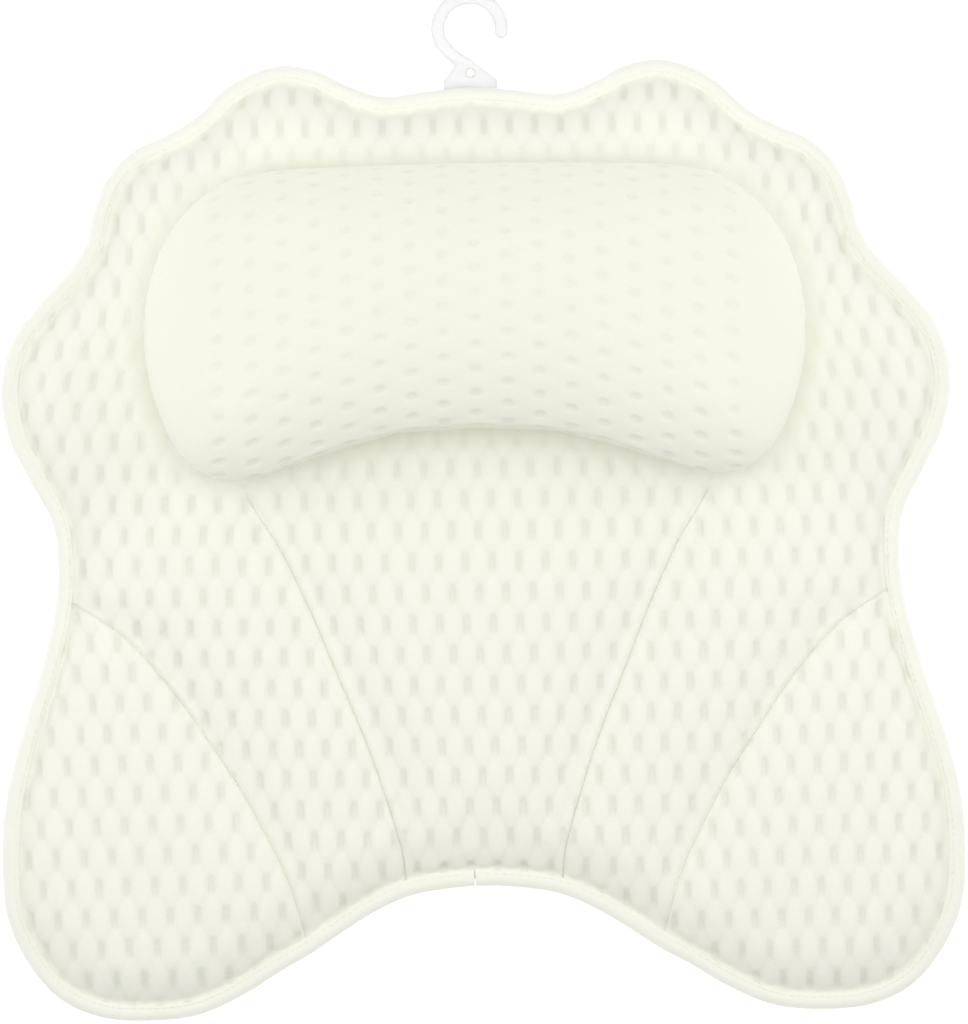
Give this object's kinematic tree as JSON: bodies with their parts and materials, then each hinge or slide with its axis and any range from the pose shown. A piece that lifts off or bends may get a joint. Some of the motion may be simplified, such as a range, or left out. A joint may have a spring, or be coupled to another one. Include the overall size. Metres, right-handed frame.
{
  "type": "bath pillow",
  "caption": "Butterfly-shaped bath pillow of air mesh with a raised kidney-shaped head bolster, bound edge, hanging hook and suction cups.",
  "frame": {"origin": "under the middle of the bounding box, at the level of the suction cups' rims", "axes": "+Z out of the front face, +Y towards the hanging hook, +X to the right as the front is looked at with the hook up"},
  "size_m": [0.4, 0.4253, 0.0996],
  "materials": {
    "air_mesh": "knitted polyester spacer mesh with open slits, matt",
    "back_fabric": "fine knitted mesh, matt",
    "binding_tape": "folded woven tape, matt",
    "webbing": "woven narrow webbing",
    "filling": "springy three-dimensional polyester filling",
    "clear_plastic": "clear moulded plastic",
    "soft_vinyl": "clear soft vinyl, glossy"
  },
  "bodies": {
    "pad": {"back_cover": "back_fabric", "pad_core": "filling", "front_panel": "air_mesh", "right_corner_panel": "air_mesh", "left_corner_panel": "air_mesh", "edge_binding": "binding_tape", "bolster_lining": "back_fabric", "bolster_cover": "air_mesh", "bolster_core": "filling", "hanging_loop": "webbing", "cup_strap_1": "webbing", "cup_strap_2": "webbing", "cup_strap_3": "webbing", "cup_strap_4": "webbing", "cup_strap_5": "webbing", "cup_strap_6": "webbing"},
    "hook": {"hanging_hook": "clear_plastic"},
    "cup_1": {"suction_cup_1": "soft_vinyl"},
    "cup_2": {"suction_cup_2": "soft_vinyl"},
    "cup_3": {"suction_cup_3": "soft_vinyl"},
    "cup_4": {"suction_cup_4": "soft_vinyl"},
    "cup_5": {"suction_cup_5": "soft_vinyl"},
    "cup_6": {"suction_cup_6": "soft_vinyl"}
  },
  "joints": [
    {"name": "hook_swing", "type": "hinge", "parent": "pad", "child": "hook", "pos_m": [0, 0.16202, 0.01227], "axis": [-1, 0, 0], "range_deg": [0, 90]},
    {"name": "cup_1_turn", "type": "hinge", "parent": "pad", "child": "cup_1", "pos_m": [0.1, 0.11955, 0.011], "axis": [0, 0, 1], "continuous": true},
    {"name": "cup_2_turn", "type": "hinge", "parent": "pad", "child": "cup_2", "pos_m": [-0.1, 0.11955, 0.011], "axis": [0, 0, 1], "continuous": true},
    {"name": "cup_3_turn", "type": "hinge", "parent": "pad", "child": "cup_3", "pos_m": [0.124, -0.00507, 0.011], "axis": [0, 0, 1], "continuous": true},
    {"name": "cup_4_turn", "type": "hinge", "parent": "pad", "child": "cup_4", "pos_m": [-0.124, -0.00507, 0.011], "axis": [0, 0, 1], "continuous": true},
    {"name": "cup_5_turn", "type": "hinge", "parent": "pad", "child": "cup_5", "pos_m": [0.124, -0.14551, 0.011], "axis": [0, 0, 1], "continuous": true},
    {"name": "cup_6_turn", "type": "hinge", "parent": "pad", "child": "cup_6", "pos_m": [-0.124, -0.14551, 0.011], "axis": [0, 0, 1], "continuous": true}
  ]
}
